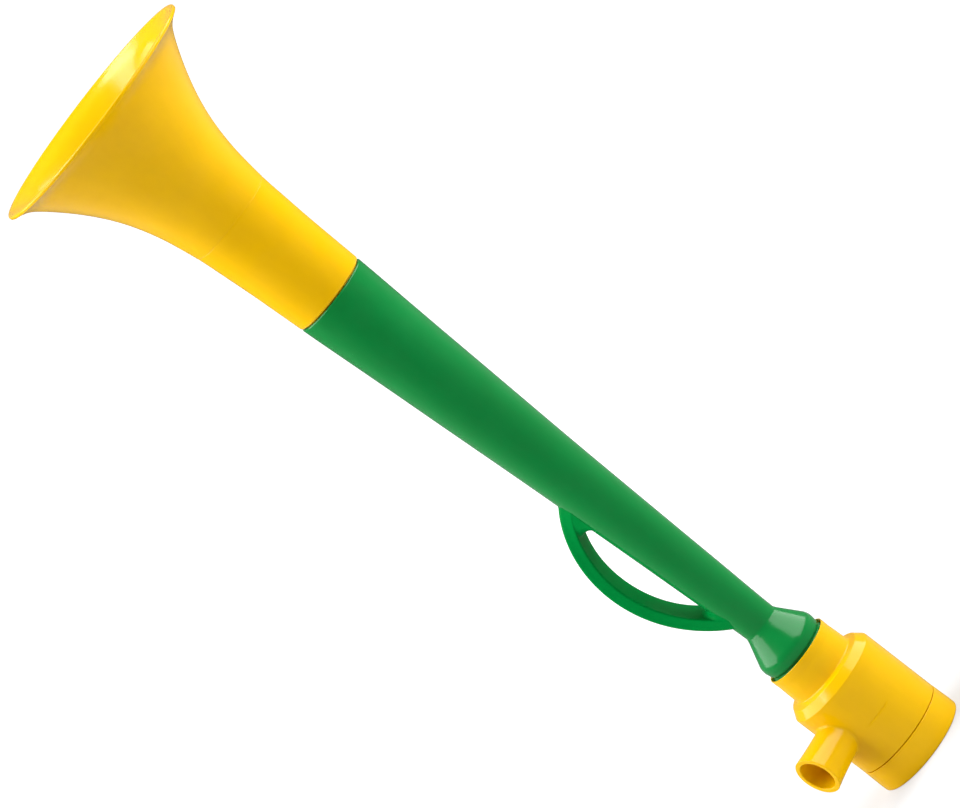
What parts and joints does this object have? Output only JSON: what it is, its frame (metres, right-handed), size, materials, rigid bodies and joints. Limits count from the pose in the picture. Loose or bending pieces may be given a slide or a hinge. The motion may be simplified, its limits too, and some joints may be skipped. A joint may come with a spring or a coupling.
{
  "type": "diaphragm supporter horn",
  "caption": "Long flared plastic horn blown through a side tube on its drum-shaped head, with a finger loop moulded on its tapered body.",
  "frame": {"origin": "centre of the end cap's flat end face, which the horn stands on", "axes": "+Z along the horn's axis from the end cap to the bell, -X from the axis towards the finger loop, +Y completes a right-handed set"},
  "size_m": [0.12, 0.12, 0.48],
  "materials": {
    "yellow_plastic": "smooth injection-moulded polypropylene with a soft gloss",
    "green_plastic": "smooth injection-moulded polypropylene with a soft gloss",
    "inner_plastic": "plain moulded polypropylene",
    "film": "thin milky polyethylene film"
  },
  "bodies": {
    "horn_body": {"body_tube": "green_plastic", "carry_handle": "green_plastic"},
    "bell": {"bell": "yellow_plastic"},
    "head": {"head_housing": "yellow_plastic", "blow_tube": "yellow_plastic", "sound_tube": "inner_plastic"},
    "diaphragm": {"diaphragm": "film"},
    "cap": {"end_cap": "yellow_plastic"}
  },
  "joints": [
    {"name": "bell_pull", "type": "slide", "parent": "horn_body", "child": "bell", "axis": [0, 0, 1], "range_m": [0, 0.03]},
    {"name": "head_swivel", "type": "hinge", "parent": "horn_body", "child": "head", "pos_m": [0, 0, 0.068], "axis": [0, 0, 1], "continuous": true},
    {"name": "cap_pull", "type": "slide", "parent": "head", "child": "cap", "axis": [0, 0, -1], "range_m": [0, 0.03]},
    {"name": "diaphragm_flutter", "type": "slide", "parent": "head", "child": "diaphragm", "axis": [0, 0, -1], "range_m": [0, 0.0004], "stiffness_N_per_m": 300}
  ]
}
